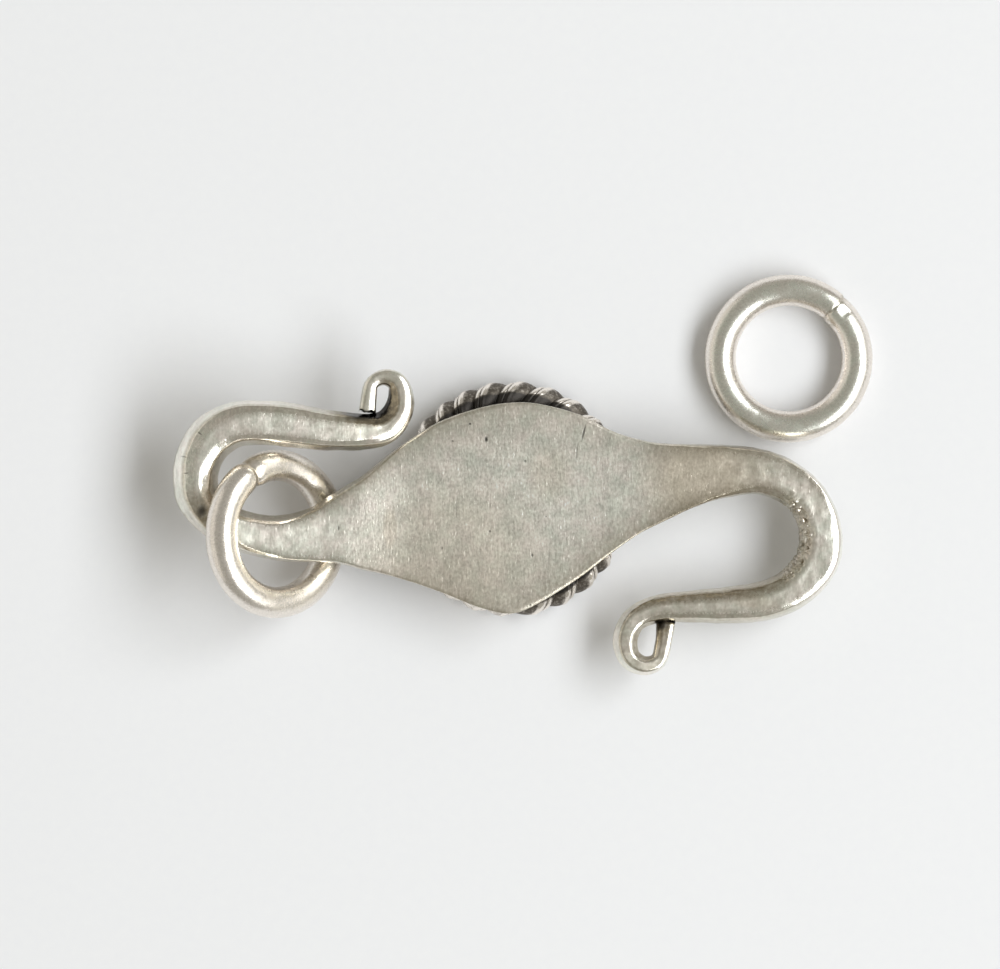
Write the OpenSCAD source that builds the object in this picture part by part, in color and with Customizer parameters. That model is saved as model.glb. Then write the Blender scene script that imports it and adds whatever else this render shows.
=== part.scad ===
// S-hook clasp of silver, lying face down, with its two jump rings.
// Millimetres, +X along the clasp, +Z up from the table that it lies on.
// The origin is on the table, under the middle of the box round everything.

/* [Centre plate] */
// Greatest width of the leaf-shaped plate
plate_w = 10; // [9:0.5:11]
// Thickness of the plate
plate_t = 1.1; // [0.9:0.1:1.3]

/* [Hooks] */
// Width of the rod round the bends
rod_w = 2.2; // [1.8:0.1:2.4]
// Thickness of the rod round the bends
rod_t = 1.9; // [1.5:0.1:1.9]
// Thickness of the wire at the tip of each curl
tip_d = 0.5; // [0.3:0.1:0.6]

/* [Twisted border] */
// Thickness of each of the two twisted wires
strand_d = 0.95; // [0.8:0.01:1]
// Radius of the border's middle line
border_r = 4.66; // [4.4:0.02:4.7]
// Whole turns of twist round the border
twists = 13; // [8:1:16]

/* [Jump rings] */
// Outer diameter of each ring
ring_od = 8; // [7.6:0.1:8]
// Thickness of the rings' wire
ring_wire = 1.5; // [1.2:0.1:1.5]
// Lean of the ring on the left neck, in degrees from flat
ring_lean = 39; // [38:1:40]

/* [Hidden] */

// The border lies on the table and is let this far into the plate by its solder
solder_depth = 0.12;
plate_z = 2 * strand_d - solder_depth + plate_t / 2;

// Places in plan, from the middle of the plate
border_at = [0, 0.43];
hook_ring_at = [-11.15, -1.22];
loose_ring_at = [13.15, 7.1];

// Middle line of a ring's wire
ring_r = (ring_od - ring_wire) / 2;

// Each arm runs from the middle of the plate to the tip of its curl. A row is
// [x, y, rise of its middle over the plate's middle, width, thickness].
RIGHT_ARM = [
    [ 0.00,  0.00,  0.00, plate_w,        plate_t],
    [ 1.33,  0.23,  0.00, 0.94 * plate_w, plate_t],
    [ 3.22,  0.57,  0.01, 0.77 * plate_w, plate_t],
    [ 4.88,  0.80,  0.04, 0.56 * plate_w, 1.08 * plate_t],
    [ 6.53,  1.13,  0.08, 0.41 * plate_w, 1.25 * plate_t],
    [ 8.43,  1.55,  0.06, 1.41 * rod_w,   0.82 * rod_t],
    [10.32,  1.75, -0.02, 1.16 * rod_w,   0.92 * rod_t],
    [11.98,  1.66, -0.13, 1.02 * rod_w,   0.97 * rod_t],
    [13.49,  0.95, -0.28, 0.94 * rod_w,   rod_t],
    [14.36, -0.20, -0.40, 0.95 * rod_w,   rod_t],
    [14.65, -1.51, -0.46, rod_w,          rod_t],
    [14.36, -2.70, -0.48, rod_w,          rod_t],
    [13.35, -3.80, -0.47, 0.96 * rod_w,   rod_t],
    [11.98, -4.40, -0.45, 0.93 * rod_w,   0.97 * rod_t],
    [10.32, -4.60, -0.42, 0.86 * rod_w,   0.92 * rod_t],
    [ 8.43, -4.68, -0.38, 0.74 * rod_w,   0.82 * rod_t],
    [ 6.85, -4.80, -0.35, 0.66 * rod_w,   0.72 * rod_t],
    [ 5.80, -5.30, -0.32, 0.60 * rod_w,   0.64 * rod_t],
    [ 5.38, -6.10, -0.30, 0.59 * rod_w,   0.60 * rod_t],
    [ 5.47, -6.95, -0.30, 0.55 * rod_w,   0.56 * rod_t],
    [ 6.05, -7.50, -0.30, 0.45 * rod_w,   0.50 * rod_t],
    [ 6.72, -7.35, -0.32, 0.36 * rod_w,   0.42 * rod_t],
    [ 7.05, -6.70, -0.34, 1.40 * tip_d,   1.40 * tip_d],
    [ 7.20, -6.15, -0.36, 1.15 * tip_d,   1.20 * tip_d],
    [ 7.50, -5.90, -0.38, 0.80 * tip_d,   0.90 * tip_d],
];
LEFT_ARM = [
    [  0.00,  0.00, 0.00, plate_w,        plate_t],
    [ -1.51,  0.02, 0.00, 0.95 * plate_w, plate_t],
    [ -3.41,  0.07, 0.01, 0.81 * plate_w, plate_t],
    [ -5.30, -0.20, 0.05, 0.63 * plate_w, 1.05 * plate_t],
    [ -7.20, -0.72, 0.20, 0.44 * plate_w, 1.20 * plate_t],
    [ -9.09, -1.22, 0.38, 1.32 * rod_w,   0.82 * rod_t],
    [-10.98, -1.40, 0.50, 0.97 * rod_w,   0.92 * rod_t],
    [-12.64, -1.11, 0.56, 0.92 * rod_w,   0.97 * rod_t],
    [-13.90, -0.55, 0.58, 0.97 * rod_w,   rod_t],
    [-14.77,  0.38, 0.76, 1.02 * rod_w,   rod_t],
    [-14.96,  1.33, 1.01, 1.05 * rod_w,   rod_t],
    [-14.82,  2.27, 1.23, 1.08 * rod_w,   rod_t],
    [-14.25,  3.25, 1.35, 1.10 * rod_w,   rod_t],
    [-13.20,  3.90, 1.38, 1.05 * rod_w,   rod_t],
    [-11.93,  4.03, 1.34, 1.02 * rod_w,   rod_t],
    [-10.51,  3.93, 1.26, 1.02 * rod_w,   0.97 * rod_t],
    [ -8.62,  3.67, 1.14, 0.93 * rod_w,   0.92 * rod_t],
    [ -6.95,  3.53, 1.04, 0.76 * rod_w,   0.80 * rod_t],
    [ -5.90,  3.75, 1.00, 0.64 * rod_w,   0.68 * rod_t],
    [ -5.32,  4.45, 0.98, 0.56 * rod_w,   0.60 * rod_t],
    [ -5.22,  5.20, 0.98, 0.53 * rod_w,   0.55 * rod_t],
    [ -5.50,  5.90, 0.98, 0.44 * rod_w,   0.50 * rod_t],
    [ -6.08,  6.12, 0.98, 0.34 * rod_w,   0.42 * rod_t],
    [ -6.60,  5.75, 0.98, 1.15 * tip_d,   1.30 * tip_d],
    [ -6.86,  5.30, 0.98, tip_d,          1.10 * tip_d],
    [ -7.00,  4.85, 0.98, 0.80 * tip_d,   0.90 * tip_d],
];

// Steps of the smooth curve between two rows, and of the arc at a section's corner
row_steps = 2;
corner_steps = 3;

// The widest sections have nearly square edges and the narrow ones are round
function softness(w) = min(0.85, max(0.45, 1.05 - 0.09 * w));

// Point at t from 0 to 1 on the smooth curve from b to c
function between(a, b, c, d, t) =
    (2 * b + (c - a) * t + (2 * a - 5 * b + 4 * c - d) * t * t
        + (3 * b - a - 3 * c + d) * t * t * t) / 2;

function smooth(rows) = let (last = len(rows) - 1) [
    for (i = [0 : last - 1], s = [0 : row_steps - 1])
        between(rows[max(i - 1, 0)], rows[i], rows[i + 1], rows[min(i + 2, last)],
            s / row_steps),
    rows[last],
];

// The plate's sections stand square to the clasp, and the rod's to its middle line
function along(rows, i) =
    let (
        step = rows[min(i + 1, len(rows) - 1)] - rows[max(i - 1, 0)],
        heading = [step.x, step.y] / norm([step.x, step.y]),
        narrow = min(1, max(0, (2 * rod_w - rows[i][3]) / (0.6 * rod_w))),
        way = narrow * heading + (1 - narrow) * [1, 0]
    )
    way / norm(way);

// Points round one section, a box with rounded corners
function section(row, way) =
    let (
        w = row[3],
        t = row[4],
        r = softness(w) * min(w, t) / 2
    )
    [
        for (quarter = [0 : 3], k = [0 : corner_steps])
            let (
                a = 90 * (quarter + k / corner_steps),
                u = (quarter == 0 || quarter == 3 ? 1 : -1) * (w / 2 - r) + r * cos(a),
                v = (quarter < 2 ? 1 : -1) * (t / 2 - r) + r * sin(a)
            )
            [row.x - u * way.y, row.y + u * way.x, plate_z + row.z + v]
    ];

// The whole S from the tip of the left curl to the tip of the right one
ROWS = smooth(concat(
    [for (i = [len(LEFT_ARM) - 1 : -1 : 1]) LEFT_ARM[i]],
    RIGHT_ARM
));
SECTIONS = [for (i = [0 : len(ROWS) - 1]) section(ROWS[i], along(ROWS, i))];

// Middle of the box round the S and both rings, which the origin lies under
S_POINTS = [for (s = SECTIONS, p = s) p];
lean_reach = [ring_r * cos(ring_lean) + ring_wire / 2, ring_od / 2];
box_lo = [for (k = [0, 1]) min(min([for (p = S_POINTS) p[k]]), hook_ring_at[k] - lean_reach[k])];
box_hi = [for (k = [0, 1]) max(max([for (p = S_POINTS) p[k]]), loose_ring_at[k] + ring_od / 2)];
box_middle = (box_lo + box_hi) / 2;

module placed() translate([-box_middle.x, -box_middle.y, 0]) children();

// Side faces between two closed rounds of n points, the second round starting at m
function sides(n, first, m) = [
    for (k = [0 : n - 1])
        let (next = (k + 1) % n)
        each [[first + k, m + next, first + next], [first + k, m + k, m + next]]
];

// The plate, necks, hooks and curls, as one skin over all the sections
module forged_s() {
    n = len(SECTIONS[0]);
    last = len(SECTIONS) - 1;
    points = [for (s = SECTIONS, p = s) p];
    faces = concat(
        [[for (k = [0 : n - 1]) k], [for (k = [n - 1 : -1 : 0]) last * n + k]],
        [for (i = [0 : last - 1]) each sides(n, i * n, (i + 1) * n)]
    );
    polyhedron(points, faces);
}

// Two wires twisted together and closed to a round. Across it they make two lobes with
// solder in the grooves, and the lobes turn about the middle line as it goes round.
module twisted_border() {
    lobe_points = 12;
    rounds = twists * lobe_points;
    groove_r = 0.38 * strand_d;
    points = [
        for (i = [0 : rounds - 1], k = [0 : lobe_points - 1])
            let (
                turn = 360 * i / rounds,
                lobe = 360 * k / lobe_points,
                a = lobe + twists * turn,
                r = max(strand_d * abs(cos(lobe)), groove_r),
                reach = border_r + r * cos(a)
            )
            [reach * cos(turn), reach * sin(turn), strand_d + r * sin(a)]
    ];
    faces = [
        for (i = [0 : rounds - 1])
            each sides(lobe_points, (i + 1) % rounds * lobe_points, i * lobe_points)
    ];
    polyhedron(points, faces);
}

module ring() rotate_extrude($fn = 96) translate([ring_r, 0]) circle(d = ring_wire, $fn = 48);

module s_hook() color("silver") placed() {
    forged_s();
    translate(border_at) twisted_border();
}

module hook_ring() color("gainsboro") placed()
    translate([hook_ring_at.x, hook_ring_at.y, ring_r * sin(ring_lean) + ring_wire / 2])
        rotate([0, ring_lean, 0])
            ring();

module loose_ring() color("gainsboro") placed()
    translate([loose_ring_at.x, loose_ring_at.y, ring_wire / 2])
        ring();

s_hook();
hook_ring();
loose_ring();
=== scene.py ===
import math

import bpy
import numpy as np
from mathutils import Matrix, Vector, noise


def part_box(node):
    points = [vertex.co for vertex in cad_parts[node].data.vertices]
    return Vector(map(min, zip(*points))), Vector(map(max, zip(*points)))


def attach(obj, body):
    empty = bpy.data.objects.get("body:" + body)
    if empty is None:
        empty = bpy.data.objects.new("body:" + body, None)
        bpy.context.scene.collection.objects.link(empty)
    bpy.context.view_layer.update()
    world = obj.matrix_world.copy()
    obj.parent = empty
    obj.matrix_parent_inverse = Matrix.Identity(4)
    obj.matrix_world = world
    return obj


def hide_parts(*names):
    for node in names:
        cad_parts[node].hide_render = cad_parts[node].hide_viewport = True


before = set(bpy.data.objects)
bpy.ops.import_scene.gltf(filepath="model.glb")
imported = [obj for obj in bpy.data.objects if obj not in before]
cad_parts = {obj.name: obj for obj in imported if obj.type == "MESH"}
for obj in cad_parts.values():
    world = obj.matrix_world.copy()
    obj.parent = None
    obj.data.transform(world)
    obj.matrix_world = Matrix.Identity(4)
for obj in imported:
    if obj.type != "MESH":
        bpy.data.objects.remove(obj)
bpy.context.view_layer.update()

# A silver S-hook clasp lying face down on white paper, with its two jump rings.
# Lengths are millimetres measured from the middle of the plate, +Z up from the
# paper, and turn into metres in the frame when a mesh is made.
MM = 0.001

# Sizes of the clasp
PLATE_W = 10.0
PLATE_T = 1.1
ROD_W = 2.2
ROD_T = 1.9
TIP_W = 0.74
TIP_T = 0.66
STRAND_D = 0.95
BORDER_R = 4.66
BORDER_AT = (0.0, 0.43)
SOLDER_DEPTH = 0.12
PLATE_Z = 2 * STRAND_D - SOLDER_DEPTH + PLATE_T / 2

# Sizes of the rings
RING_WIRE = 1.5
RING_R = 3.25
RING_LEAN = math.radians(39)
LOOSE_RING_AT = (13.15, 7.1, RING_WIRE / 2)
HOOK_RING_AT = (-11.15, -1.22, RING_R * math.sin(RING_LEAN) + RING_WIRE / 2)

# The frame says where the loose ring lies, and so where the plate's middle is
ring_lo, ring_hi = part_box("loose_ring")
ORIGIN = (ring_lo + ring_hi) / 2 / MM - Vector(LOOSE_RING_AT)

# The photograph: the paper's width that it shows, and the middle of that stretch
VIEW_W = 47.34
VIEW_AT = (-0.568, 1.113)
LENS, SENSOR = 300.0, 36.0

# Each arm from the plate's middle to the tip of its curl. A row is
# (x, y, rise of the middle over the plate's middle, width, thickness).
RIGHT_ARM = (
    (0.00, 0.00, 0.00, PLATE_W, PLATE_T),
    (1.33, 0.23, 0.00, 0.94 * PLATE_W, PLATE_T),
    (3.22, 0.57, 0.00, 0.77 * PLATE_W, PLATE_T),
    (4.88, 0.80, 0.01, 0.56 * PLATE_W, 1.03 * PLATE_T),
    (6.53, 1.13, 0.00, 0.41 * PLATE_W, 1.13 * PLATE_T),
    (8.43, 1.55, -0.03, 1.41 * ROD_W, 0.76 * ROD_T),
    (10.32, 1.75, -0.14, 1.16 * ROD_W, 0.88 * ROD_T),
    (11.98, 1.66, -0.23, 1.02 * ROD_W, 0.96 * ROD_T),
    (13.49, 0.95, -0.30, 0.94 * ROD_W, ROD_T),
    (14.36, -0.20, -0.39, 0.95 * ROD_W, ROD_T),
    (14.65, -1.51, -0.46, ROD_W, ROD_T),
    (14.36, -2.70, -0.48, ROD_W, ROD_T),
    (13.35, -3.80, -0.47, 0.96 * ROD_W, ROD_T),
    (11.98, -4.40, -0.45, 0.93 * ROD_W, 0.97 * ROD_T),
    (10.32, -4.60, -0.42, 0.86 * ROD_W, 0.92 * ROD_T),
    (8.43, -4.68, -0.38, 0.74 * ROD_W, 0.82 * ROD_T),
    (6.85, -4.80, -0.35, 0.66 * ROD_W, 0.72 * ROD_T),
    (5.80, -5.30, -0.32, 0.60 * ROD_W, 0.64 * ROD_T),
    (5.37, -6.20, -0.30, 0.59 * ROD_W, 0.60 * ROD_T),
    (5.58, -7.10, -0.30, 0.54 * ROD_W, 0.56 * ROD_T),
    (6.25, -7.48, -0.30, 0.46 * ROD_W, 0.50 * ROD_T),
    (6.90, -7.26, -0.32, 1.20 * TIP_W, 0.44 * ROD_T),
    (7.13, -6.62, -0.36, 1.16 * TIP_W, 1.15 * TIP_T),
    (7.22, -6.05, -0.44, 1.22 * TIP_W, 1.08 * TIP_T),
    (7.30, -5.36, -0.60, 1.36 * TIP_W, 1.00 * TIP_T),
)
LEFT_ARM = (
    (0.00, 0.00, 0.00, PLATE_W, PLATE_T),
    (-1.51, 0.02, 0.00, 0.95 * PLATE_W, PLATE_T),
    (-3.41, 0.07, 0.00, 0.81 * PLATE_W, PLATE_T),
    (-5.30, -0.20, 0.02, 0.63 * PLATE_W, PLATE_T),
    (-7.20, -0.72, 0.14, 0.44 * PLATE_W, 1.09 * PLATE_T),
    (-9.09, -1.22, 0.27, 1.32 * ROD_W, 0.705 * ROD_T),
    (-10.98, -1.40, 0.38, 1.04 * ROD_W, 0.80 * ROD_T),
    (-12.64, -1.11, 0.48, 0.95 * ROD_W, 0.885 * ROD_T),
    (-13.90, -0.55, 0.56, 0.97 * ROD_W, 0.97 * ROD_T),
    (-14.77, 0.38, 0.76, 1.02 * ROD_W, ROD_T),
    (-14.96, 1.33, 1.01, 1.05 * ROD_W, ROD_T),
    (-14.82, 2.27, 1.23, 1.08 * ROD_W, ROD_T),
    (-14.25, 3.25, 1.35, 1.10 * ROD_W, ROD_T),
    (-13.20, 3.90, 1.38, 1.05 * ROD_W, ROD_T),
    (-11.93, 4.03, 1.34, 1.02 * ROD_W, ROD_T),
    (-10.51, 3.93, 1.26, 1.02 * ROD_W, 0.97 * ROD_T),
    (-8.62, 3.67, 1.14, 0.93 * ROD_W, 0.92 * ROD_T),
    (-6.95, 3.62, 1.04, 0.84 * ROD_W, 0.80 * ROD_T),
    (-5.97, 3.87, 1.00, 0.78 * ROD_W, 0.68 * ROD_T),
    (-5.42, 4.50, 0.98, 0.71 * ROD_W, 0.60 * ROD_T),
    (-5.25, 5.22, 0.98, 0.62 * ROD_W, 0.56 * ROD_T),
    (-5.46, 5.95, 0.98, 0.48 * ROD_W, 0.50 * ROD_T),
    (-6.06, 6.18, 0.98, 0.39 * ROD_W, 0.44 * ROD_T),
    (-6.60, 5.90, 0.98, 1.02 * TIP_W, 1.15 * TIP_T),
    (-6.74, 5.38, 0.98, 1.12 * TIP_W, 1.05 * TIP_T),
    (-6.84, 4.53, 0.98, 1.24 * TIP_W, TIP_T),
)
PLATE_ROW = len(LEFT_ARM) - 1

# How the hammer and file left the rod's upper edges. Rows are counted from the
# left curl's tip, so the left bend is at rows 13 to 17, the plate's middle at
# PLATE_ROW and the right bend at rows 33 to 37. Left and right are those of the
# way along. Each side leans in to a shoulder, from which a facet rises to the top.
# A row of the table is (row, left: how far in the shoulder and the top's edge
# lie, and how low the shoulder; right: the same three; softness of the corners).
# Ways in are shares of the width, and ways down shares of the thickness.
FORGING = (
    (0, 0.08, 0.30, 0.15, 0.06, 0.44, 0.17, 0.34),
    (2, 0.08, 0.30, 0.13, 0.06, 0.44, 0.17, 0.34),
    (4, 0.08, 0.31, 0.12, 0.10, 0.38, 0.24, 0.30),
    (6, 0.08, 0.32, 0.13, 0.18, 0.48, 0.28, 0.28),
    (7, 0.10, 0.34, 0.14, 0.20, 0.42, 0.24, 0.26),
    (8, 0.12, 0.30, 0.14, 0.12, 0.32, 0.14, 0.26),
    (9, 0.13, 0.26, 0.12, 0.11, 0.29, 0.10, 0.24),
    (11.5, 0.13, 0.26, 0.12, 0.11, 0.29, 0.10, 0.24),
    (13, 0.14, 0.34, 0.11, 0.18, 0.42, 0.10, 0.24),
    (14.5, 0.16, 0.40, 0.11, 0.23, 0.51, 0.11, 0.24),
    (16, 0.16, 0.40, 0.12, 0.23, 0.51, 0.11, 0.24),
    (18, 0.14, 0.26, 0.14, 0.08, 0.22, 0.14, 0.26),
    (19, 0.14, 0.23, 0.12, 0.05, 0.14, 0.10, 0.26),
    (20, 0.08, 0.14, 0.12, 0.03, 0.08, 0.10, 0.28),
    (22, 0.008, 0.018, 0.10, 0.002, 0.008, 0.06, 0.34),
    (25, 0.001, 0.007, 0.05, 0.001, 0.004, 0.04, 0.34),
    (28, 0.002, 0.010, 0.07, 0.001, 0.004, 0.03, 0.34),
    (30, 0.02, 0.06, 0.12, 0.006, 0.02, 0.05, 0.30),
    (32, 0.07, 0.18, 0.02, 0.05, 0.22, 0.12, 0.24),
    (33.8, 0.08, 0.18, 0.02, 0.06, 0.28, 0.20, 0.24),
    (34.6, 0.09, 0.24, 0.065, 0.06, 0.30, 0.22, 0.24),
    (36.1, 0.09, 0.23, 0.065, 0.06, 0.30, 0.22, 0.24),
    (37.2, 0.12, 0.28, 0.07, 0.09, 0.32, 0.22, 0.30),
    (41, 0.13, 0.34, 0.13, 0.10, 0.34, 0.22, 0.32),
    (42.2, 0.20, 0.30, 0.06, 0.22, 0.31, 0.05, 0.20),
    (44, 0.25, 0.35, 0.06, 0.25, 0.33, 0.05, 0.16),
    (45.5, 0.18, 0.32, 0.10, 0.18, 0.28, 0.06, 0.20),
    (47, 0.08, 0.34, 0.20, 0.05, 0.28, 0.12, 0.28),
    (49, 0.08, 0.34, 0.20, 0.05, 0.28, 0.12, 0.28),
)

# How dark the silver is painted along the rod, brown at 1 and black at 2: tarnish, and painted
# shade on facets that mirror darker surroundings. A row is (row, left side, left facet, top, right
# facet, right side).
TARNISH_AND_SHADE = (
    (0, 0.5, 0.3, 0.5, 0.0, 0.3),
    (2, 0.5, 0.3, 0.2, 0.2, 0.6),
    (4, 0.3, 0.1, 0.4, 1.1, 1.5),
    (6, 0.2, 0.0, 0.5, 1.5, 2.6),
    (7.6, 0.3, 0.2, 0.35, 1.5, 2.8),
    (8.3, 0.3, 0.3, 0.4, 0.9, 2.6),
    (9.2, 0.3, 0.3, 0.25, 0.45, 0.2),
    (11.5, 0.3, 0.35, 0.15, 0.4, 0.0),
    (13.5, 0.3, 0.4, 0.0, 0.1, 0.0),
    (15.2, 0.5, 0.0, 0.1, 0.1, 0.0),
    (16.0, 1.0, 0.3, 0.6, 0.7, 0.0),
    (16.8, 1.2, 0.8, 1.0, 1.0, 0.1),
    (18, 0.6, 0.3, 0.2, 0.2, 0.2),
    (19, 0.6, 0.4, 0.25, 0.3, 0.3),
    (21, 0.8, 0.7, 0.2, 0.4, 0.4),
    (22, 0.8, 0.7, 0.0, 0.5, 0.5),
    (25, 0.6, 0.5, 0.0, 0.6, 0.8),
    (28, 0.6, 0.4, 0.0, 0.9, 1.0),
    (30, 0.6, 0.5, 0.25, 0.9, 1.0),
    (32, 0.6, 0.6, 0.5, 0.7, 0.6),
    (33.6, 0.4, 0.5, 0.3, 0.6, 0.6),
    (34.6, 0.0, 0.0, 0.1, 0.5, 0.6),
    (36.1, 0.0, 0.0, 0.1, 0.6, 0.6),
    (37.6, 0.5, 0.3, 0.35, 0.8, 0.6),
    (41, 1.0, 0.6, 0.4, 0.9, 0.7),
    (42.5, 1.0, 0.3, 0.45, 0.6, 0.5),
    (44, 0.9, 0.2, 0.6, 0.5, 0.1),
    (46, 1.0, 0.5, 0.6, 0.5, 0.1),
    (47.5, 1.3, 0.9, 0.6, 0.4, 0.1),
    (49, 1.8, 1.5, 1.2, 0.6, 0.5),
)
# How much darker the underside is made, on the same scale
UNDERSIDE_DARKENING = 0.3
# Painted shade: a dark line along each shoulder's corner of the rod
SHOULDER_SHADE = 0.6

# Layers of unevenness. A row is (height, size, seed).
# The faint lumps all over the rod, which is drawn in by about as much as they stand out
LUMPS = (
    (0.024, 1.3, 1),
    (0.022, 0.45, 2),
)
DRAWN_IN = 0.030
# How the curls' tips were nipped off
RAGGED = (
    (0.16, 0.25, 7),
)
# The folds of the crushed stretch, with their heights as shares of FOLDED_IN
FOLDS = (
    (1.0, 0.26, 3),
    (0.6, 0.13, 4),
)
# The faint dents of the rings, which are drawn in too
DENTS = (
    (0.010, 1.1, 5),
    (0.006, 0.4, 6),
)
DENTS_IN = 0.012

# The crushed stretch inside the right bend: an arc in plan, crushed in full over a
# share of its half width, that fades out between two angles each way from +X, in
# degrees. The metal is pushed out and folded in.
CRUSHED_AT = (12.0, -1.28)
CRUSHED_R = 1.93
CRUSHED_HALF_W = 0.42
CRUSHED_IN_FULL = 0.6
CRUSHED_ENDS = (50, 75)
CRUSHED_ROWS = (33.0, 37.3)
PUSHED_OUT = 0.05
FOLDED_IN = 0.25

# Angles of the border's crests from +X, in degrees, with the count of crests
# passed. Those under the plate are spread evenly.
CRESTS = (
    (47.1, 0), (62.2, 1), (76.7, 2), (92.3, 3), (107.0, 4), (120.0, 5), (131.7, 6),
    (270.6, 16), (288.9, 17), (303.1, 18), (318.6, 19), (407.1, 26),
)

# Marks on the upper side of the S: pits and scratches, and a few of painted shade. A row is
# (x, y, rise over the plate's middle, half width, half length, turn in degrees from the Y axis,
# tone).
PITS_AND_SHADE_MARKS = (
    (-1.22, 3.25, 0.55, 0.10, 0.17, 0, 0.9),
    (-1.99, 3.98, 0.55, 0.07, 0.07, 0, 0.9),
    (-2.81, 3.17, 0.55, 0.06, 0.06, 0, 0.6),
    (0.62, 2.22, 0.55, 0.08, 0.08, 0, 0.6),
    (0.95, -2.23, 0.55, 0.08, 0.10, 0, 0.7),
    (0.85, -4.59, 0.55, 0.08, 0.08, 0, 0.6),
    (3.39, 3.58, 0.55, 0.07, 0.50, 14, 0.75),
    (3.05, 2.60, 0.55, 0.05, 0.60, 6, 0.35),
    (1.75, -2.30, 0.55, 0.05, 0.85, 5, 0.25),
    (-2.62, 0.15, 0.55, 0.04, 1.00, 2, 0.2),
    (-1.05, -1.10, 0.55, 0.07, 0.07, 0, 0.7),
    (1.60, -0.40, 0.55, 0.05, 0.05, 0, 0.6),
    (-3.30, -1.90, 0.55, 0.06, 0.09, 0, 0.5),
    (-8.20, -0.95, 0.65, 0.06, 0.14, 0, 0.6),
    (-15.35, 1.65, 1.6, 0.16, 0.04, -6, 0.7),
    (-15.45, 2.42, 1.7, 0.20, 0.04, 8, 0.6),
    (-14.70, 3.52, 1.9, 0.16, 0.05, 40, 0.6),
    # The last three marks are painted shade: by the hook ring at the left bend, and where each
    # curl's tip meets its arm
    (-14.62, -0.12, 1.3, 0.30, 0.42, 20, 0.8),
    (-7.15, 4.29, 1.3, 1.15, 0.24, -4, 0.95),
    (7.05, -5.55, -0.1, 0.50, 0.30, 0, 0.8),
)
STAINS = (
    (-5.75, -1.0, 0.6, 0.55, 1.5, 0, 0.6),
    (9.0, 1.4, 0.8, 3.5, 3.2, 0, 0.75),
    (-2.6, -2.9, 0.55, 1.6, 1.2, 30, 0.45),
    (13.2, 3.4, 0.4, 1.0, 0.5, 0, 0.5),
    (1.8, 1.6, 0.55, 1.3, 1.6, 0, 0.35),
    (-3.0, -2.2, 0.55, 5.5, 4.5, 0, 0.4),
    (11.4, -4.4, 0.4, 1.4, 0.5, 10, 0.4),
)


def catmull_rom(rows, t):
    """Rows of the smooth curve through all the rows, at each fractional row t."""
    rows = np.asarray(rows, float)
    last = len(rows) - 1
    i = np.clip(np.floor(t).astype(int), 0, last - 1)
    s = (t - i)[:, None]
    a, b = rows[np.maximum(i - 1, 0)], rows[i]
    c, d = rows[i + 1], rows[np.minimum(i + 2, last)]
    cubic = (3 * b - a - 3 * c + d) * s**3
    return (2 * b + (c - a) * s + (2 * a - 5 * b + 4 * c - d) * s**2 + cubic) / 2


def columns(table, at):
    """The table's later columns, each read at the places in its first column."""
    table = np.asarray(table, float)
    return [np.interp(at, table[:, 0], table[:, k]) for k in range(1, table.shape[1])]


def mesh_piece(name, points, faces, material, attributes=None):
    """A smooth mesh object of points in millimetres from the plate's middle."""
    mesh = bpy.data.meshes.new(name)
    mesh.from_pydata(((np.asarray(points) + np.array(ORIGIN)) * MM).tolist(), [], faces)
    for key, values in (attributes or {}).items():
        layer = mesh.attributes.new(key, "FLOAT", "POINT")
        layer.data.foreach_set("value", np.asarray(values, np.float32))
    mesh.shade_smooth()
    mesh.update()
    piece = bpy.data.objects.new(name, mesh)
    piece.data.materials.append(material)
    bpy.context.scene.collection.objects.link(piece)
    return piece


def band_faces(rounds, around, closed):
    """Faces between rounds of points, joined into a ring if closed."""
    faces = []
    for i in range(rounds if closed else rounds - 1):
        a, b = i * around, (i + 1) % rounds * around
        for k in range(around):
            m = (k + 1) % around
            faces.append((a + k, a + m, b + m, b + k))
    return faces


def bumps(points, size, seed):
    """Smooth noise from -1 to 1 at each point, of lumps of about that size."""
    shift = Vector((seed * 17.3, seed * 5.1, seed * 9.7))
    return np.array([noise.noise(Vector(p) / size + shift) for p in points])


def layers(points, table, shift=0):
    """Each layer of unevenness in a table, at each point."""
    return [height * bumps(points, size, seed + shift) for height, size, seed in table]


def smooth_step(x, lo, hi):
    t = np.clip((x - lo) / (hi - lo), 0, 1)
    return t * t * (3 - 2 * t)


# Points along the straight part of each of a section's edges: left side, left
# facet, top, right facet, right side, and the underside's three
EDGE_POINTS = (3, 6, 22, 10, 10, 5, 8, 4)
CORNER_POINTS = 5
# Which of those edges are flat and matt, and the numbers of the shoulders' corners
FLAT_EDGES = (0.0, 0.0, 1.0, 0.0, 0.0, 0.0, 1.0, 0.0)
SHOULDERS = (1, 4)

# Spacing of the sections along the S, and of the places where it is measured
ROD_SPACING = 0.16
CRUSHED_SPACING = 0.05
PLACES_A_ROW = 40

# How far in the underside's edges lie on the rod and on the plate, as shares of the
# width, how high the sides begin, as a share of the thickness, and how much of that
# on the rod and on the plate
FOOT_IN = (0.26, 0.02)
SIDE_UP = 0.30
SIDE_SHARE = (1, 0.3)

# A section at least SQUARE_W wide stands square to the clasp, as the plate's do, and
# one narrower by TURNED_W stands square to the middle line, as the rod's do
SQUARE_W = 2 * ROD_W
TURNED_W = 0.6 * ROD_W


def row_places(rows):
    """Fractional rows for the sections, closer together on the crushed stretch."""
    t = np.linspace(0, len(rows) - 1, PLACES_A_ROW * len(rows))
    line = catmull_rom(rows, t)[:, :2]
    crushed = (t[1:] > CRUSHED_ROWS[0]) & (t[1:] < CRUSHED_ROWS[1])
    spacing = np.where(crushed, CRUSHED_SPACING, ROD_SPACING)
    steps = np.concatenate([[0], np.cumsum(np.hypot(*np.diff(line, axis=0).T) / spacing)])
    return np.interp(np.linspace(0, steps[-1], int(steps[-1]) + 1), steps, t)


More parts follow.
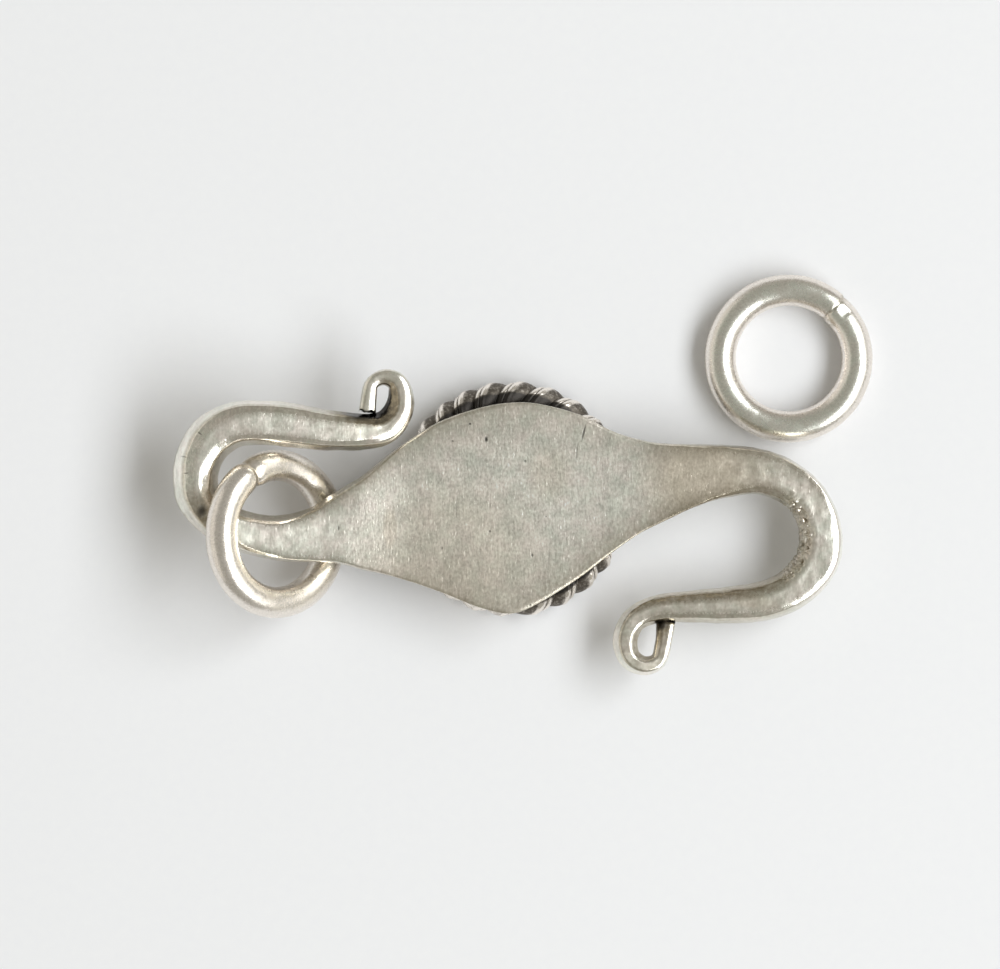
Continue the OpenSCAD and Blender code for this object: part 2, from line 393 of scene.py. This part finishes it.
def rounded_outline(corners, soft, counts):
    """Points round polygons with curved corners, one polygon for each row.

    corners is (rows, corner, 2), soft the share of each edge that its corners
    take up, and counts the number of points along each edge's straight part."""
    parts = []
    n = corners.shape[1]
    for k in range(n):
        here, before, after = corners[:, k], corners[:, k - 1], corners[:, (k + 1) % n]
        start = here + (before - here) * soft[:, None]
        end = here + (after - here) * soft[:, None]
        for s in np.linspace(0, 1, CORNER_POINTS):
            parts.append((1 - s) ** 2 * start + 2 * s * (1 - s) * here + s**2 * end)
        following = after + (here - after) * soft[:, None]
        for s in np.linspace(0, 1, counts[k] + 2)[1:-1]:
            parts.append(end + (following - end) * s)
    return np.stack(parts, axis=1)


def along_edges(values):
    """A value at each point of rounded_outline, given one for each edge."""
    parts = []
    for k in range(values.shape[1]):
        for s in np.linspace(0, 1, CORNER_POINTS):
            parts.append((1 - s) * values[:, k - 1] + s * values[:, k])
        parts += [values[:, k]] * EDGE_POINTS[k]
    return np.stack(parts, axis=1)


def on_shoulders(rows):
    """1 in the middle of each shoulder's corner and 0 on the edges between."""
    line = []
    for k, count in enumerate(EDGE_POINTS):
        here = 1.0 if k in SHOULDERS else 0.0
        line += [here * (1 - abs(2 * s - 1)) for s in np.linspace(0, 1, CORNER_POINTS)]
        line += [0.0] * count
    return np.tile(line, (rows, 1))


def rod_sections(rows, t):
    """Points across and up of each section, with the facets of FORGING."""
    w, h = rows[:, 3], rows[:, 4]
    in_l, cut_l, drop_l, in_r, cut_r, drop_r, soft = columns(FORGING, t)
    foot = np.interp(w, (ROD_W, PLATE_W / 2), FOOT_IN)
    low = SIDE_UP * h * np.interp(w, (ROD_W, PLATE_W / 2), SIDE_SHARE)
    corners = np.stack([
        np.stack([w / 2, low - h / 2], 1),
        np.stack([w / 2 - in_l * w, h / 2 - drop_l * h], 1),
        np.stack([w / 2 - cut_l * w, h / 2], 1),
        np.stack([cut_r * w - w / 2, h / 2], 1),
        np.stack([in_r * w - w / 2, h / 2 - drop_r * h], 1),
        np.stack([-w / 2, low - h / 2], 1),
        np.stack([foot * w - w / 2, -h / 2], 1),
        np.stack([w / 2 - foot * w, -h / 2], 1),
    ], axis=1)
    return rounded_outline(corners, soft, EDGE_POINTS)


def make_s_body(material):
    """The plate, necks, hooks and curls, as one forged skin."""
    table = LEFT_ARM[:0:-1] + RIGHT_ARM
    t = row_places(table)
    rows = catmull_rom(table, t)
    sections = rod_sections(rows, t)
    heading = np.gradient(rows[:, :2], axis=0)
    heading /= np.linalg.norm(heading, axis=1)[:, None]
    narrow = np.clip((SQUARE_W - rows[:, 3]) / TURNED_W, 0, 1)[:, None]
    heading = narrow * heading + (1 - narrow) * np.array([1.0, 0.0])
    heading /= np.linalg.norm(heading, axis=1)[:, None]
    u, v = sections[:, :, 0], sections[:, :, 1]
    points = np.stack([
        rows[:, None, 0] - u * heading[:, None, 1],
        rows[:, None, 1] + u * heading[:, None, 0],
        PLATE_Z + rows[:, None, 2] + v,
    ], axis=2)
    rounds, around = points.shape[:2]
    flat = points.reshape(-1, 3)
    rod = np.repeat(narrow[:, 0], around)
    # Tarnish and painted shade, facet by facet along the rod
    side_l, facet_l, top, facet_r, side_r = columns(TARNISH_AND_SHADE, t)
    under = np.full_like(top, UNDERSIDE_DARKENING)
    edges = [side_l, facet_l, top, facet_r, side_r, under, under, under]
    tarnish_and_shade = along_edges(np.stack(edges, 1))
    # Painted shade darkens the shoulders' corners
    tarnish_and_shade = np.maximum(tarnish_and_shade, SHOULDER_SHADE * narrow * on_shoulders(rounds))
    flat_top = along_edges(np.tile(FLAT_EDGES, (rounds, 1)))
    flat_top = np.maximum(flat_top, 1 - narrow)
    centre = np.repeat(np.column_stack([rows[:, :2], PLATE_Z + rows[:, 2]]), around, 0)
    outward = flat - centre
    outward /= np.linalg.norm(outward, axis=1)[:, None]
    lumps = sum(layers(flat, LUMPS)) - DRAWN_IN
    crushed = crushed_side(flat)
    folds = sum(np.abs(layer) for layer in layers(flat, FOLDS))
    flat = flat + outward * (rod * lumps + crushed * (PUSHED_OUT - FOLDED_IN * folds))[:, None]
    for tip, end in ((slice(0, around), 0), (slice(-around, None), -1)):
        ragged = sum(layers(flat[tip], RAGGED))
        flat[tip, :2] += ragged[:, None] * heading[end]
    faces = band_faces(rounds, around, closed=False)
    faces.append(tuple(range(around))[::-1])
    faces.append(tuple(range((rounds - 1) * around, rounds * around)))
    looks = {
        "rod": rod,
        "tarnish_and_shade": tarnish_and_shade.reshape(-1),
        "flat_top": flat_top.reshape(-1),
        "crushed": crushed,
    }
    return mesh_piece("forged_s", flat, faces, material, looks)


def crushed_side(points):
    """1 along the arc inside the right bend where the metal is crushed, and 0 off it."""
    x, y = points[:, 0] - CRUSHED_AT[0], points[:, 1] - CRUSHED_AT[1]
    off = np.abs(np.hypot(x, y) - CRUSHED_R)
    angle = np.abs(np.degrees(np.arctan2(y, x)))
    near = 1 - smooth_step(off, CRUSHED_IN_FULL * CRUSHED_HALF_W, CRUSHED_HALF_W)
    return near * (1 - smooth_step(angle, *CRUSHED_ENDS))


BORDER_ROUNDS = 560
BORDER_AROUND = 80
# Radius of the notches between the strands, and how sharply a strand swells out of them
NOTCH_R = 0.70
SWELL_POWER = 0.8
# The drawn seam along each strand and the ridges on both sides of it. Angles round
# the strands are degrees from the seam.
SEAM_DEPTH = 0.06
SEAM_W = 5
RIDGE = 0.035
RIDGE_W = 15
RIDGES_AT = (26, -27)
# How far round from outward a crest lies at the angles of CRESTS
CREST_UP = math.radians(52)
# How bare the silver is across one strand: degrees from its seam, share worn bare
WEAR = (
    (-54, 0.1), (-47, 0.5), (-34, 0.75), (-26, 1.0), (-7, 1.0), (-3, 0.1), (3, 0.1),
    (7, 1.0), (42, 1.0), (54, 0.3), (72, 0.15), (126, 0.1),
)
STRAND_MIDDLE = 36.0
# The stretch that is rubbed bright: its middle and half length, in degrees from +X,
# and the share worn bare
RUBBED = (247.0, 22.0, 0.8)
# The painted shade on the strands under the plate's edge, in degrees round the border
# from outward: where it begins, where it is full and where it ends
SHADED = (56, 70, 200)


def make_twisted_border(material):
    """Two strands twisted and closed to a round, each with a drawn seam along it."""
    theta = np.linspace(0, 2 * math.pi, BORDER_ROUNDS, endpoint=False)
    angles, counts = np.asarray(CRESTS, float).T
    degrees = np.degrees(theta)
    degrees = np.where(degrees < angles[0], degrees + 360, degrees)
    turns = np.interp(degrees, angles, counts)
    lobe = np.linspace(0, 2 * math.pi, BORDER_AROUND, endpoint=False)
    first = WEAR[0][0]
    off_seam = (np.degrees(lobe) - first) % 180 + first
    swell = np.abs(np.cos(np.radians(off_seam - STRAND_MIDDLE))) ** SWELL_POWER
    r = NOTCH_R + (STRAND_D - NOTCH_R) * swell - SEAM_DEPTH * np.exp(-((off_seam / SEAM_W) ** 2))
    ridges = sum(np.exp(-(((off_seam - at) / RIDGE_W) ** 2)) for at in RIDGES_AT)
    r += RIDGE * (ridges - 1)
    psi = lobe[None, :] + math.pi * turns[:, None] + CREST_UP
    reach = BORDER_R + r * np.cos(psi)
    points = np.stack([
        BORDER_AT[0] + reach * np.cos(theta)[:, None],
        BORDER_AT[1] + reach * np.sin(theta)[:, None],
        STRAND_D + r * np.sin(psi),
    ], axis=2).reshape(-1, 3)
    faces = [f[::-1] for f in band_faces(BORDER_ROUNDS, BORDER_AROUND, closed=True)]
    middle, half_length, bare = RUBBED
    rubbed = bare * np.exp(-(((np.degrees(theta) - middle) / half_length) ** 4))[:, None]
    round_wire = np.degrees(psi) % 360
    begins, full, ends = SHADED
    shaded = smooth_step(round_wire, begins, full) * (round_wire < ends)
    # Where the plate's edge overhangs, the strands are painted dark in shade
    wear_and_shade = np.maximum(columns(WEAR, off_seam)[0], rubbed) * (1 - shaded) - shaded
    return mesh_piece("twisted_border", points, faces, material, {"wear_and_shade": wear_and_shade.reshape(-1)})


RING_ROUNDS = 420
RING_AROUND = 64
# A ring's cut ends: the crack between them, the reach of their rounding, and how far
# they miss each other, which fades out along the wire
CRACK_DEPTH = 0.035
CRACK_W = 0.06
ROUNDED_W = 0.25
MISSED = 0.022
MISSED_REACH = 0.9
# The flat that a file left over each ring's closed ends
FILED_REACH = 0.28
FILED_DEPTH = 0.085
FILED_WAY = tuple(Vector((0.33, 0.10, 1.0)).normalized())
# Reach of the solder's dirt along the crack, and inside the ring by the filed flat
DIRTY_CRACK = 0.16
DIRTY_INSIDE = 0.45
# Where the inner side and the crown begin and are full, as shares of the wire's radius
# from its middle, inwards and up
INNER_SIDE = (0.3, 0.8)
CROWN = (0.75, 0.95)


def make_ring(name, at, lean, seam, rounding, filed_at, material):
    """A jump ring of round wire, whose cut ends meet at the angle seam of its own plane.

    rounding is how far the cut ends are rounded down, and filed_at how far
    counterclockwise from the seam the filed flat lies."""
    turn = np.linspace(0, 2 * math.pi, RING_ROUNDS, endpoint=False)
    across = np.linspace(0, 2 * math.pi, RING_AROUND, endpoint=False)
    big, small = np.meshgrid(turn, across, indexing="ij")
    run = RING_R * ((big - seam + math.pi) % (2 * math.pi) - math.pi)
    cut = CRACK_DEPTH * np.exp(-((run / CRACK_W) ** 2))
    cut = cut + rounding * np.exp(-((run / ROUNDED_W) ** 2))
    near = np.exp(-((run / MISSED_REACH) ** 2))
    offset = MISSED * np.tanh(run / CRACK_W) * near - MISSED * near
    wire = RING_WIRE / 2 - cut
    reach = RING_R + offset + wire * np.cos(small)
    points = np.stack([reach * np.cos(big), reach * np.sin(big), wire * np.sin(small)], axis=2)
    points = points.reshape(-1, 3)
    middle = np.stack([RING_R * np.cos(big), RING_R * np.sin(big), 0 * big], axis=2).reshape(-1, 3)
    outward = (points - middle) / np.linalg.norm(points - middle, axis=1)[:, None]
    dents = sum(layers(points, DENTS, seam)) - DENTS_IN
    points = points + outward * dents[:, None]
    filed = np.exp(-(((run.reshape(-1) - filed_at) / FILED_REACH) ** 4))
    proud = (points - middle) @ np.array(FILED_WAY) - (RING_WIRE / 2 - FILED_DEPTH)
    points = points - np.outer(filed * np.maximum(proud, 0), FILED_WAY)
    c, s = math.cos(lean), math.sin(lean)
    turned = np.column_stack([
        c * points[:, 0] + s * points[:, 2],
        points[:, 1],
        c * points[:, 2] - s * points[:, 0],
    ])
    faces = [f[::-1] for f in band_faces(RING_ROUNDS, RING_AROUND, closed=True)]
    inner = smooth_step(-np.cos(small), *INNER_SIDE)
    crown = smooth_step(np.sin(small), *CROWN)
    inside = inner * np.exp(-(((run - filed_at) / DIRTY_INSIDE) ** 2))
    solder = np.maximum(np.exp(-((run / DIRTY_CRACK) ** 2)), inside)
    looks = {"solder": solder.reshape(-1), "crown": crown.reshape(-1)}
    return mesh_piece(name, turned + np.array(at), faces, material, looks)


# How far a mark reaches up and down from its middle, and how near other metal has to
# be for a hollow to be painted dark with oxide and shade
MARK_HALF_H = 0.8
HOLLOW_REACH = 0.8


class Nodes:
    """Builds one node-based material, a node at a time."""

    def __init__(self, name):
        self.material = bpy.data.materials.new(name)
        self.material.use_nodes = True
        self.tree = self.material.node_tree
        self.tree.nodes.clear()
        self.out = self.tree.nodes.new("ShaderNodeOutputMaterial")
        self.shader = self.tree.nodes.new("ShaderNodeBsdfPrincipled")
        self.tree.links.new(self.shader.outputs[0], self.out.inputs["Surface"])
        self.where = self.tree.nodes.new("ShaderNodeTexCoord").outputs["Object"]

    def add(self, kind, inputs=None, **settings):
        """A node with its settings, and its inputs set or linked by name or number."""
        node = self.tree.nodes.new(kind)
        for key, value in settings.items():
            setattr(node, key, value)
        for key, value in (inputs or {}).items():
            self.put(node.inputs[key], value)
        return node

    def put(self, socket, value):
        if isinstance(value, bpy.types.NodeSocket):
            self.tree.links.new(value, socket)
        else:
            socket.default_value = value

    def scaled(self, x, y, z):
        """Object coordinates in lumps of x, y and z millimetres."""
        scale = (1 / (x * MM), 1 / (y * MM), 1 / (z * MM))
        return self.add("ShaderNodeMapping", {"Vector": self.where, "Scale": scale}).outputs[0]

    def noise(self, size, detail=3.0, rough=0.5):
        """Noise from 0 to 1 in lumps of size millimetres, a number or three."""
        sizes = size if isinstance(size, tuple) else (size, size, size)
        inputs = {"Vector": self.scaled(*sizes), "Scale": 1.0, "Detail": detail, "Roughness": rough}
        return self.add("ShaderNodeTexNoise", inputs).outputs["Fac"]

    def range(self, value, lo, hi, to_lo=0.0, to_hi=1.0):
        inputs = {"Value": value, "From Min": lo, "From Max": hi, "To Min": to_lo, "To Max": to_hi}
        return self.add("ShaderNodeMapRange", inputs).outputs[0]

    def math(self, operation, a, b=0.0):
        return self.add("ShaderNodeMath", {0: a, 1: b}, operation=operation).outputs[0]

    def mix(self, factor, a, b, blend="MIX"):
        node = self.add("ShaderNodeMix", data_type="RGBA", blend_type=blend)
        self.put(node.inputs[0], factor)
        self.put(node.inputs[6], a)
        self.put(node.inputs[7], b)
        return node.outputs[2]

    def attribute(self, name):
        return self.add("ShaderNodeAttribute", attribute_name=name).outputs["Fac"]

    def bump(self, height, depth, normal=None):
        """A bump whose height of 1 stands depth millimetres out."""
        inputs = {"Height": height, "Distance": depth * MM, "Strength": 1.0}
        if normal:
            inputs["Normal"] = normal
        return self.add("ShaderNodeBump", inputs).outputs[0]

    def marks(self, table, edge):
        """The strongest tone of a table of marks, fading out from edge of the way to each rim."""
        total = 0.0
        for x, y, rise, half_w, half_l, turn, tone in table:
            at = (Vector((x, y, PLATE_Z + rise)) + ORIGIN) * MM
            inputs = {
                "Vector": self.where, "Location": at, "Rotation": (0, 0, -math.radians(turn)),
                "Scale": (half_w * MM, half_l * MM, MARK_HALF_H * MM),
            }
            local = self.add("ShaderNodeMapping", inputs, vector_type="TEXTURE").outputs[0]
            off = self.add("ShaderNodeVectorMath", {0: local}, operation="LENGTH").outputs["Value"]
            total = self.math("MAXIMUM", total, self.range(off, edge, 1.0, tone, 0.0))
        return total


# Base colours of the silver as it is lit, and of the layers on it: tarnish and oxide, which also
# serve as painted shade
SILVER_PINK = (0.92, 0.86, 0.79, 1)
SILVER_WARM = (0.90, 0.83, 0.72, 1)
SILVER_GREEN = (0.81, 0.82, 0.73, 1)
SILVER_TAN = (0.80, 0.71, 0.58, 1)
BROWNED_AND_SHADE = (0.38, 0.325, 0.235, 1)
TARNISH = (0.165, 0.145, 0.12, 1)
OXIDE_AND_SHADE = (0.045, 0.041, 0.037, 1)


def satin_silver():
    """Filed and tumbled silver: streaked along Y, mottled, with pits, and hollows painted dark with
    oxide and painted shade.
    """
    m = Nodes("satin_silver_finish")
    rod = m.attribute("rod")
    mottle = m.noise(1.0, 5.0, 0.7)
    patches = m.noise(0.9, 3.0, 0.6)
    streaks = m.noise((0.13, 0.60, 0.60), 3.0, 0.65)
    grain = m.noise((0.10, 0.15, 0.15), 2.0, 0.6)
    strokes = m.noise((0.10, 0.30, 0.30), 1.0, 0.5)
    tint = m.mix(m.range(mottle, 0.38, 0.62), SILVER_GREEN, SILVER_PINK)
    tint = m.mix(m.marks(STAINS, 0.45), tint, SILVER_TAN)
    shade = m.range(streaks, 0.3, 0.7, -0.13, 0.13)
    shade = m.math("ADD", shade, m.range(grain, 0.3, 0.7, -0.12, 0.12))
    shade = m.math("ADD", shade, m.range(patches, 0.35, 0.65, -0.09, 0.09))
    shade = m.math("ADD", shade, m.range(strokes, 0.66, 0.74, 0.0, 0.18))
    shade = m.math("MULTIPLY", shade, m.range(rod, 0.0, 1.0, 1.0, 0.7))
    shade = m.math("ADD", shade, m.range(rod, 0.0, 1.0, 1.0, 1.08))
    colour = m.mix(1.0, tint, shade, "MULTIPLY")
    # Tarnish and painted shade: brown, then black, as the rod's table darkens each facet
    cloud = m.range(m.noise(0.22, 3.0, 0.6), 0.3, 0.7, 0.65, 1.2)
    tarnish_and_shade = m.math("MULTIPLY", m.attribute("tarnish_and_shade"), cloud)
    colour = m.mix(m.range(tarnish_and_shade, 0.0, 1.0), colour, BROWNED_AND_SHADE)
    colour = m.mix(m.range(tarnish_and_shade, 1.0, 2.0), colour, OXIDE_AND_SHADE)
    # Pits, scratches and marks of painted shade, in oxide black
    pits_and_shade = m.marks(PITS_AND_SHADE_MARKS, 0.4)
    colour = m.mix(pits_and_shade, colour, OXIDE_AND_SHADE)
    # Hollows where other metal is near are painted dark: partly oxide, partly painted shade;
    # crushed metal goes brown there
    reach = {"Distance": HOLLOW_REACH * MM}
    occlusion_shade = m.add("ShaderNodeAmbientOcclusion", reach, only_local=True, samples=8)
    open_sky = m.range(occlusion_shade.outputs["AO"], 0.25, 0.75)
    crushed = m.attribute("crushed")
    colour = m.mix(open_sky, m.mix(crushed, OXIDE_AND_SHADE, BROWNED_AND_SHADE), colour)
    m.put(m.shader.inputs["Base Color"], colour)
    m.shader.inputs["Metallic"].default_value = 1.0
    rough = m.range(m.attribute("flat_top"), 0.0, 1.0, 0.21, 0.36)
    rough = m.math("ADD", rough, m.range(grain, 0.3, 0.7, -0.03, 0.04))
    rough = m.math("ADD", rough, m.math("MULTIPLY", crushed, 0.14))
    m.put(m.shader.inputs["Roughness"], rough)
    normal = m.bump(m.math("SUBTRACT", 1.0, pits_and_shade), 0.006)
    normal = m.bump(m.math("MULTIPLY", streaks, m.range(rod, 0.0, 1.0, 1.0, 0.6)), 0.007, normal)
    normal = m.bump(m.range(strokes, 0.65, 0.75), 0.0022, normal)
    m.put(m.shader.inputs["Normal"], m.bump(grain, 0.003, normal))
    return m.material


def oxidised_and_shaded_silver():
    """The border's silver, dark in the twist's hollows, worn bright on the strands' fronts, and
    painted in shade under the plate's edge.
    """
    m = Nodes("oxidised_and_shaded_silver_finish")
    grain = m.noise(0.14, 3.0, 0.6)
    wear_and_shade = m.math("ADD", m.attribute("wear_and_shade"), m.range(grain, 0.3, 0.7, -0.2, 0.2))
    wear_and_shade = m.range(wear_and_shade, 0.15, 0.9)
    # Oxide black in the hollows, and painted shade under the plate's edge
    patina_and_shade = m.math("ADD", m.attribute("wear_and_shade"), m.range(grain, 0.3, 0.7, -0.35, 0.35))
    tarnish_and_shade = m.mix(m.range(patina_and_shade, -0.7, 0.3), OXIDE_AND_SHADE, TARNISH)
    m.put(m.shader.inputs["Base Color"], m.mix(wear_and_shade, tarnish_and_shade, SILVER_PINK))
    m.shader.inputs["Metallic"].default_value = 1.0
    m.put(m.shader.inputs["Roughness"], m.range(wear_and_shade, 0, 1, 0.50, 0.22))
    m.put(m.shader.inputs["Normal"], m.bump(grain, 0.012))
    return m.material


def polished_silver(name, crown_reflection_tint):
    """Tumbled wire: bright, with faint dents, and a painted reflection, another tint, mottled over
    its crown.
    """
    m = Nodes(name)
    mottle = m.noise(0.7, 4.0, 0.6)
    grain = m.noise(0.10, 3.0, 0.6)
    # Painted reflection: the crown, which mirrors the room above, takes another tint
    crown = m.math("MULTIPLY", m.attribute("crown"), m.range(mottle, 0.35, 0.6, 0.4, 1.0))
    tint = m.mix(crown, SILVER_PINK, crown_reflection_tint)
    shade = m.range(grain, 0.3, 0.7, 0.84, 1.05)
    colour = m.mix(1.0, tint, shade, "MULTIPLY")
    cloud = m.range(m.noise(0.2, 3.0, 0.6), 0.35, 0.65, 0.2, 1.2)
    dirt = m.math("MULTIPLY", m.attribute("solder"), cloud)
    colour = m.mix(m.range(dirt, 0.2, 1.0, 0.0, 0.8), colour, BROWNED_AND_SHADE)
    m.put(m.shader.inputs["Base Color"], colour)
    m.shader.inputs["Metallic"].default_value = 1.0
    m.put(m.shader.inputs["Roughness"], m.range(mottle, 0.3, 0.7, 0.23, 0.31))
    m.put(m.shader.inputs["Normal"], m.bump(grain, 0.006))
    return m.material


PAPER = (0.80, 0.80, 0.81, 1)
PAPER_FIBRE = (0.83, 0.83, 0.83, 1)
FLOOR_HALF = 2.0


def paper():
    """Plain white paper, very faintly mottled."""
    m = Nodes("paper")
    fibre = m.noise(0.5, 4.0, 0.6)
    m.put(m.shader.inputs["Base Color"], m.mix(fibre, PAPER, PAPER_FIBRE))
    m.shader.inputs["Roughness"].default_value = 0.9
    m.shader.inputs["Specular IOR Level"].default_value = 0.2
    return m.material


def make_floor():
    """The paper, wide enough for its edge to stay out of every view."""
    corners = [(-1, -1), (1, -1), (1, 1), (-1, 1)]
    mesh = bpy.data.meshes.new("floor")
    points = [(x * FLOOR_HALF, y * FLOOR_HALF, 0) for x, y in corners]
    mesh.from_pydata(points, [], [(0, 1, 2, 3)])
    floor = bpy.data.objects.new("floor", mesh)
    floor.data.materials.append(paper())
    bpy.context.scene.collection.objects.link(floor)
    return floor


# The lit surroundings. A row is (name, azimuth and elevation of its middle, half
# angles across and up, all in degrees, distance in metres, radiance, colour, if it
# lights the paper too). The window's sill is only there to be mirrored.
PANELS = (
    ("window", -5, 49, 37, 12, 0.70, 6.2, (0.935, 0.965, 1.0), True),
    ("window_sill", -5, 26, 38, 11, 0.80, 0.9, (0.96, 0.975, 1.0), False),
    ("left_wall", 180, 21, 50, 19, 0.90, 0.38, (1.0, 0.96, 0.90), True),
)
ROOM = (0.367, 0.358, 0.325, 1)


def panel(name, azimuth, elevation, half_across, half_up, distance, radiance, colour, lights_paper):
    """A soft rectangular lamp facing the clasp, azimuth in degrees from +X."""
    light = bpy.data.lights.new(name, "AREA")
    light.shape = "RECTANGLE"
    light.size = 2 * distance * math.tan(math.radians(half_across))
    light.size_y = 2 * distance * math.tan(math.radians(half_up))
    light.energy = radiance * math.pi * light.size * light.size_y
    light.color = colour
    lamp = bpy.data.objects.new(name, light)
    az, el = math.radians(azimuth), math.radians(elevation)
    way = Vector((math.cos(el) * math.cos(az), math.cos(el) * math.sin(az), math.sin(el)))
    lamp.location = way * distance
    lamp.rotation_mode = "QUATERNION"
    lamp.rotation_quaternion = way.to_track_quat("Z", "Y")
    lamp.visible_camera = False
    lamp.visible_diffuse = lights_paper
    bpy.context.scene.collection.objects.link(lamp)


def make_lights():
    """A window on the right with its sill, the pale wall across from it, and the room."""
    for row in PANELS:
        panel(*row)
    world = bpy.data.worlds.new("room")
    world.use_nodes = True
    background = world.node_tree.nodes["Background"]
    background.inputs["Color"].default_value = ROOM
    background.inputs["Strength"].default_value = 1.0
    bpy.context.scene.world = world


def make_camera():
    """Straight above, with a long lens, framed as the photograph is."""
    data = bpy.data.cameras.new("camera")
    data.lens, data.sensor_width = LENS, SENSOR
    camera = bpy.data.objects.new("camera", data)
    height = VIEW_W / SENSOR * LENS + PLATE_Z
    camera.location = (Vector((*VIEW_AT, height)) + Vector((ORIGIN.x, ORIGIN.y, 0))) * MM
    data.clip_start, data.clip_end = 0.01, 10.0
    bpy.context.scene.collection.objects.link(camera)
    bpy.context.scene.camera = camera


s_silver = satin_silver()

body = make_s_body(s_silver)
border = make_twisted_border(oxidised_and_shaded_silver())
hook_ring = make_ring(
    "hook_ring_wire", HOOK_RING_AT, lean=RING_LEAN,
    seam=math.radians(120), rounding=0.08, filed_at=0.2,
    material=polished_silver("hook_ring_finish", SILVER_WARM),
)
loose_ring = make_ring(
    "loose_ring_wire", LOOSE_RING_AT, lean=0.0,
    seam=math.radians(48), rounding=0.015, filed_at=-0.40,
    material=polished_silver("loose_ring_finish", SILVER_GREEN),
)

for piece, node, slot in (
    (body, "s_hook", "satin_silver"),
    (border, "s_hook", "satin_silver"),
    (hook_ring, "hook_ring", "polished_silver"),
    (loose_ring, "loose_ring", "polished_silver"),
):
    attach(piece, "root")
    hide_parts(node)

make_floor()
make_lights()
make_camera()
bpy.context.scene.view_settings.view_transform = "Standard"
